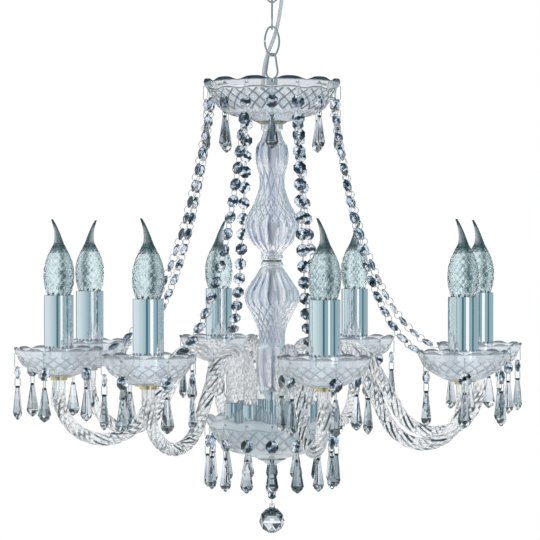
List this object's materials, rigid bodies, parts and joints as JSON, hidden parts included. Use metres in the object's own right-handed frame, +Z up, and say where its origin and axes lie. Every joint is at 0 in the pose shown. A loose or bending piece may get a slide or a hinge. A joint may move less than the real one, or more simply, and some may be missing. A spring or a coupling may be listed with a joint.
{
  "type": "chandelier",
  "caption": "Crystal chandelier with glass arms, candle lamps, bead garlands and hanging drops, on a chain from a ceiling cup.",
  "frame": {"origin": "middle of the ceiling face, where the top of the hook's stem and of the plate meet the ceiling", "axes": "+Z up, out of the ceiling face; -Y towards the side that the picture shows; X across it"},
  "size_m": [0.5831, 0.5806, 0.6943],
  "materials": {
    "crystal": "clear, cut",
    "bulb_glass": "clear, dimpled",
    "chrome": "polished",
    "brass": "polished",
    "plastic": "smooth",
    "cable": "translucent sheath"
  },
  "bodies": {
    "ceiling": {"ceiling_plate": "chrome", "ceiling_hook": "chrome", "ceiling_cup": "chrome", "cup_collar": "chrome", "terminal_block": "plastic", "power_cable": "cable"},
    "link_1": {"chain_link_1": "chrome"},
    "link_2": {"chain_link_2": "chrome"},
    "link_3": {"chain_link_3": "chrome"},
    "frame": {"top_eye": "chrome", "center_rod": "chrome", "column_cap": "chrome", "top_dish": "crystal", "column_washers": "brass", "column_upper": "crystal", "column_collar": "crystal", "column_lower": "crystal", "arm_hub": "chrome", "arm_ferrules": "chrome", "bottom_dish": "crystal", "finial": "chrome", "arm_1": "crystal", "arm_2": "crystal", "arm_3": "crystal", "arm_4": "crystal", "arm_5": "crystal", "arm_6": "crystal", "arm_7": "crystal", "arm_8": "crystal", "bobeche_1": "crystal", "bobeche_2": "crystal", "bobeche_3": "crystal", "bobeche_4": "crystal", "bobeche_5": "crystal", "bobeche_6": "crystal", "bobeche_7": "crystal", "bobeche_8": "crystal", "arm_cups": "brass", "lamp_holders": "plastic", "candle_sleeves": "chrome", "garlands": "crystal", "bobeche_drops": "crystal", "bottom_drops": "crystal"},
    "ball": {"ball_drop": "crystal"},
    "bulb_1": {"bulb_1": "bulb_glass"},
    "top_drop_1": {"top_drop_1": "crystal"},
    "bulb_2": {"bulb_2": "bulb_glass"},
    "top_drop_2": {"top_drop_2": "crystal"},
    "bulb_3": {"bulb_3": "bulb_glass"},
    "top_drop_3": {"top_drop_3": "crystal"},
    "bulb_4": {"bulb_4": "bulb_glass"},
    "top_drop_4": {"top_drop_4": "crystal"},
    "bulb_5": {"bulb_5": "bulb_glass"},
    "top_drop_5": {"top_drop_5": "crystal"},
    "bulb_6": {"bulb_6": "bulb_glass"},
    "top_drop_6": {"top_drop_6": "crystal"},
    "bulb_7": {"bulb_7": "bulb_glass"},
    "top_drop_7": {"top_drop_7": "crystal"},
    "bulb_8": {"bulb_8": "bulb_glass"},
    "top_drop_8": {"top_drop_8": "crystal"}
  },
  "joints": [
    {"name": "hook_to_link_1", "type": "hinge", "parent": "ceiling", "child": "link_1", "pos_m": [0, 0, -0.0532], "axis": [0, 1, 0], "range_deg": [-20, 20], "deforming": ["power_cable"]},
    {"name": "link_1_to_link_2", "type": "hinge", "parent": "link_1", "child": "link_2", "pos_m": [0, 0, -0.0835], "axis": [0.9848, 0.1736, 0], "range_deg": [-20, 20], "deforming": ["power_cable"]},
    {"name": "link_2_to_link_3", "type": "hinge", "parent": "link_2", "child": "link_3", "pos_m": [0, 0, -0.1142], "axis": [0, 1, 0], "range_deg": [-20, 20], "deforming": ["power_cable"]},
    {"name": "link_3_to_eye", "type": "hinge", "parent": "link_3", "child": "frame", "pos_m": [0, 0, -0.1449], "axis": [0.9397, 0.342, 0], "range_deg": [-20, 20], "deforming": ["power_cable"]},
    {"name": "bulb_1_unscrew", "type": "hinge", "parent": "frame", "child": "bulb_1", "pos_m": [0.05471, -0.24138, -0.43912], "axis": [0, 0, 1], "range_deg": [0, 900]},
    {"name": "bulb_2_unscrew", "type": "hinge", "parent": "frame", "child": "bulb_2", "pos_m": [0.20824, -0.13376, -0.43912], "axis": [0, 0, 1], "range_deg": [0, 900]},
    {"name": "bulb_3_unscrew", "type": "hinge", "parent": "frame", "child": "bulb_3", "pos_m": [0.24285, 0.04751, -0.43912], "axis": [0, 0, 1], "range_deg": [0, 900]},
    {"name": "bulb_4_unscrew", "type": "hinge", "parent": "frame", "child": "bulb_4", "pos_m": [0.10355, 0.22437, -0.43912], "axis": [0, 0, 1], "range_deg": [0, 900]},
    {"name": "bulb_5_unscrew", "type": "hinge", "parent": "frame", "child": "bulb_5", "pos_m": [-0.06691, 0.23825, -0.43912], "axis": [0, 0, 1], "range_deg": [0, 900]},
    {"name": "bulb_6_unscrew", "type": "hinge", "parent": "frame", "child": "bulb_6", "pos_m": [-0.2192, 0.11465, -0.43912], "axis": [0, 0, 1], "range_deg": [0, 900]},
    {"name": "bulb_7_unscrew", "type": "hinge", "parent": "frame", "child": "bulb_7", "pos_m": [-0.23892, -0.06456, -0.43912], "axis": [0, 0, 1], "range_deg": [0, 900]},
    {"name": "bulb_8_unscrew", "type": "hinge", "parent": "frame", "child": "bulb_8", "pos_m": [-0.13051, -0.2103, -0.43912], "axis": [0, 0, 1], "range_deg": [0, 900]},
    {"name": "top_drop_1_sway", "type": "hinge", "parent": "frame", "child": "top_drop_1", "pos_m": [0, -0.07552, -0.17965], "axis": [0, -1, 0], "range_deg": [-14, 14]},
    {"name": "top_drop_2_sway", "type": "hinge", "parent": "frame", "child": "top_drop_2", "pos_m": [0.0534, -0.0534, -0.17965], "axis": [0.7071, -0.7071, 0], "range_deg": [-14, 14]},
    {"name": "top_drop_3_sway", "type": "hinge", "parent": "frame", "child": "top_drop_3", "pos_m": [0.07552, 0, -0.17965], "axis": [1, 0, 0], "range_deg": [-14, 14]},
    {"name": "top_drop_4_sway", "type": "hinge", "parent": "frame", "child": "top_drop_4", "pos_m": [0.0534, 0.0534, -0.17965], "axis": [0.7071, 0.7071, 0], "range_deg": [-14, 14]},
    {"name": "top_drop_5_sway", "type": "hinge", "parent": "frame", "child": "top_drop_5", "pos_m": [0, 0.07552, -0.17965], "axis": [0, 1, 0], "range_deg": [-14, 14]},
    {"name": "top_drop_6_sway", "type": "hinge", "parent": "frame", "child": "top_drop_6", "pos_m": [-0.0534, 0.0534, -0.17965], "axis": [-0.7071, 0.7071, 0], "range_deg": [-14, 14]},
    {"name": "top_drop_7_sway", "type": "hinge", "parent": "frame", "child": "top_drop_7", "pos_m": [-0.07552, 0, -0.17965], "axis": [-1, 0, 0], "range_deg": [-14, 14]},
    {"name": "top_drop_8_sway", "type": "hinge", "parent": "frame", "child": "top_drop_8", "pos_m": [-0.0534, -0.0534, -0.17965], "axis": [-0.7071, -0.7071, 0], "range_deg": [-14, 14]},
    {"name": "ball_sway", "type": "hinge", "parent": "frame", "child": "ball", "pos_m": [0, 0, -0.639], "axis": [1, 0, 0], "range_deg": [-25, 25]}
  ]
}
